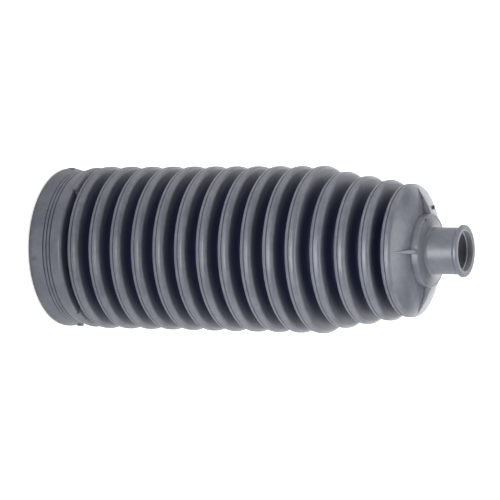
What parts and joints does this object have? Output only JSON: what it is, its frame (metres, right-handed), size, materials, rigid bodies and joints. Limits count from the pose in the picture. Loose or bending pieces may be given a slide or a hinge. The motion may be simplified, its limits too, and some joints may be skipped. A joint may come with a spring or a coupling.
{
  "type": "steering rack boot",
  "caption": "Pleated rubber sleeve that tapers to a narrow neck and seals the joint between a steering rack housing and its tie rod.",
  "frame": {"origin": "centre of the mouth face of the wide end, which the boot stands on", "axes": "+Z along the axis, from the wide end to the narrow neck; -Y is the side that the picture shows"},
  "size_m": [0.064, 0.064, 0.171],
  "materials": {
    "rubber": "satin moulded rubber, dark slate grey"
  },
  "bodies": {
    "root": {"boot": "rubber"}
  },
  "joints": []
}
